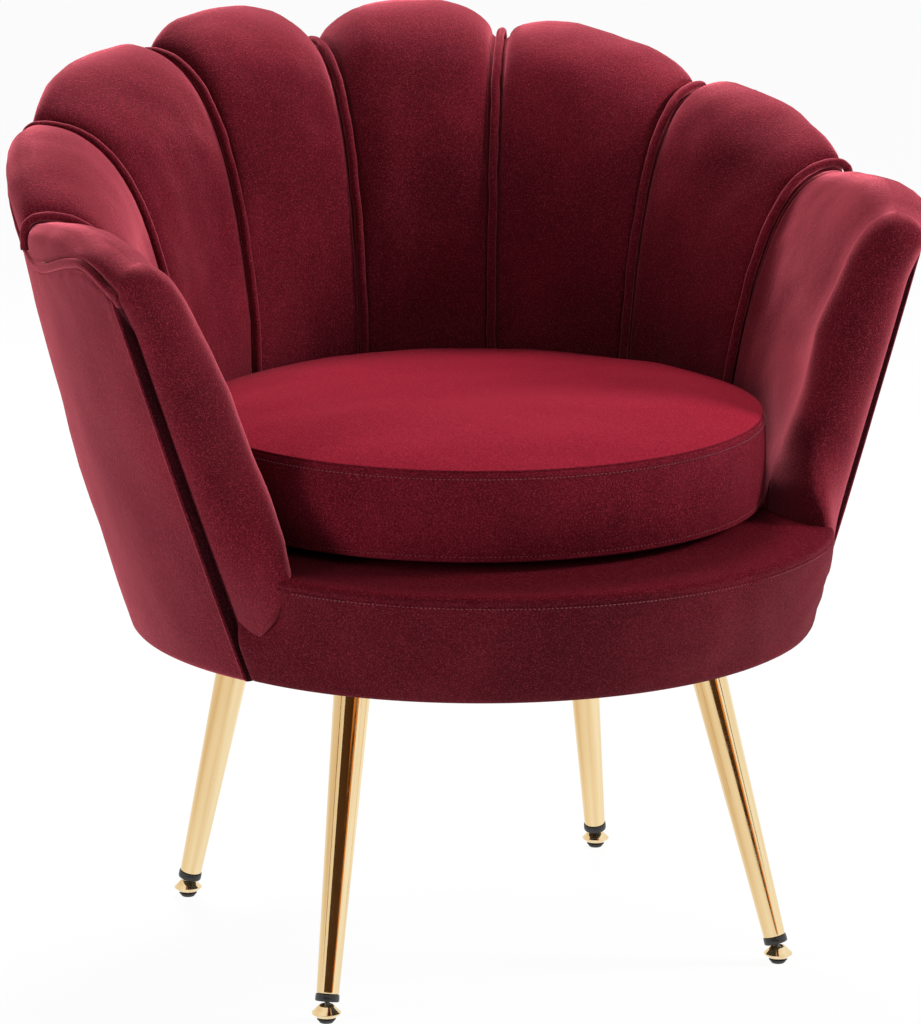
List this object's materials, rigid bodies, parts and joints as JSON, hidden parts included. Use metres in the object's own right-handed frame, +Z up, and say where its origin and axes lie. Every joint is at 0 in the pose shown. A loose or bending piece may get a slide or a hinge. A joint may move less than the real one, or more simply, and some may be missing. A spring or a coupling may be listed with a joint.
{
  "type": "scallop back chair",
  "caption": "Low velvet tub chair: padded petals fan into a scalloped back and arms over a round base with a loose round cushion, on splayed tapered metal legs.",
  "frame": {"origin": "on the floor, under the middle of the chair", "axes": "+X to the right of someone facing the chair, -Y out of the front, +Z up"},
  "size_m": [0.7704, 0.7368, 0.76],
  "materials": {
    "velvet": "soft velvet",
    "velvet_trim": "soft velvet",
    "plywood": "sanded",
    "webbing": "woven strap",
    "foam": "open-cell foam",
    "dust_cloth": "non-woven cloth",
    "gold_plate": "polished gold plate",
    "steel": "zinc plated",
    "black_plastic": "moulded",
    "black_rubber": "moulded",
    "zip_tape": "woven tape"
  },
  "bodies": {
    "chair": {"petal_4": "velvet", "petal_5": "velvet", "petal_3": "velvet", "petal_6": "velvet", "petal_2": "velvet", "petal_7": "velvet", "petal_1": "velvet", "petal_8": "velvet", "seam_piping_4": "velvet_trim", "seam_piping_5": "velvet_trim", "seam_piping_3": "velvet_trim", "seam_piping_6": "velvet_trim", "seam_piping_2": "velvet_trim", "seam_piping_7": "velvet_trim", "seam_piping_1": "velvet_trim", "outer_back_cover": "velvet", "edge_welt": "velvet_trim", "plywood_shell": "plywood", "deck_cover": "velvet", "base_board": "plywood", "base_ring": "plywood", "seat_webbing": "webbing", "deck_foam": "foam", "dust_cover": "dust_cloth", "leg_collar_front_right": "black_plastic", "leg_tube_front_right": "gold_plate", "leg_plug_front_right": "steel", "corner_block_front_right": "plywood", "leg_collar_front_left": "black_plastic", "leg_tube_front_left": "gold_plate", "leg_plug_front_left": "steel", "corner_block_front_left": "plywood", "leg_collar_back_right": "black_plastic", "leg_tube_back_right": "gold_plate", "leg_plug_back_right": "steel", "corner_block_back_right": "plywood", "leg_collar_back_left": "black_plastic", "leg_tube_back_left": "gold_plate", "leg_plug_back_left": "steel", "corner_block_back_left": "plywood"},
    "cushion": {"cushion_cover": "velvet", "cushion_foam": "foam", "cushion_zip": "zip_tape"},
    "zip_slider": {"zip_slider": "steel"},
    "glide_stem_front_right": {"glide_stem_front_right": "steel"},
    "glide_foot_front_right": {"glide_disc_front_right": "gold_plate", "glide_pad_front_right": "black_rubber"},
    "glide_stem_front_left": {"glide_stem_front_left": "steel"},
    "glide_foot_front_left": {"glide_disc_front_left": "gold_plate", "glide_pad_front_left": "black_rubber"},
    "glide_stem_back_right": {"glide_stem_back_right": "steel"},
    "glide_foot_back_right": {"glide_disc_back_right": "gold_plate", "glide_pad_back_right": "black_rubber"},
    "glide_stem_back_left": {"glide_stem_back_left": "steel"},
    "glide_foot_back_left": {"glide_disc_back_left": "gold_plate", "glide_pad_back_left": "black_rubber"}
  },
  "joints": [
    {"name": "cushion_lift", "type": "slide", "parent": "chair", "child": "cushion", "axis": [0, 0, 1], "range_m": [0, 0.45]},
    {"name": "zip_run", "type": "hinge", "parent": "cushion", "child": "zip_slider", "pos_m": [0, -0.03683, 0.4233], "axis": [0, 0, 1], "range_deg": [-65.89, 0]},
    {"name": "level_front_right", "type": "slide", "parent": "chair", "child": "glide_stem_front_right", "axis": [0.1759, -0.2216, -0.9592], "range_m": [0, 0.008]},
    {"name": "tilt_front_right", "type": "hinge", "parent": "glide_stem_front_right", "child": "glide_foot_front_right", "pos_m": [0.205, -0.21783, 0.0103], "axis": [-0.7833, -0.6217, 0], "range_deg": [-0.6, 33.4]},
    {"name": "level_front_left", "type": "slide", "parent": "chair", "child": "glide_stem_front_left", "axis": [-0.1759, -0.2216, -0.9592], "range_m": [0, 0.008]},
    {"name": "tilt_front_left", "type": "hinge", "parent": "glide_stem_front_left", "child": "glide_foot_front_left", "pos_m": [-0.205, -0.21783, 0.0103], "axis": [-0.7833, 0.6217, 0], "range_deg": [-0.6, 33.4]},
    {"name": "level_back_right", "type": "slide", "parent": "chair", "child": "glide_stem_back_right", "axis": [0.15, 0.1714, -0.9737], "range_m": [0, 0.008]},
    {"name": "tilt_back_right", "type": "hinge", "parent": "glide_stem_back_right", "child": "glide_foot_back_right", "pos_m": [0.197, 0.14817, 0.0103], "axis": [0.7526, -0.6585, 0], "range_deg": [-3.8, 30.2]},
    {"name": "level_back_left", "type": "slide", "parent": "chair", "child": "glide_stem_back_left", "axis": [-0.15, 0.1714, -0.9737], "range_m": [0, 0.008]},
    {"name": "tilt_back_left", "type": "hinge", "parent": "glide_stem_back_left", "child": "glide_foot_back_left", "pos_m": [-0.197, 0.14817, 0.0103], "axis": [0.7526, 0.6585, 0], "range_deg": [-3.8, 30.2]}
  ]
}
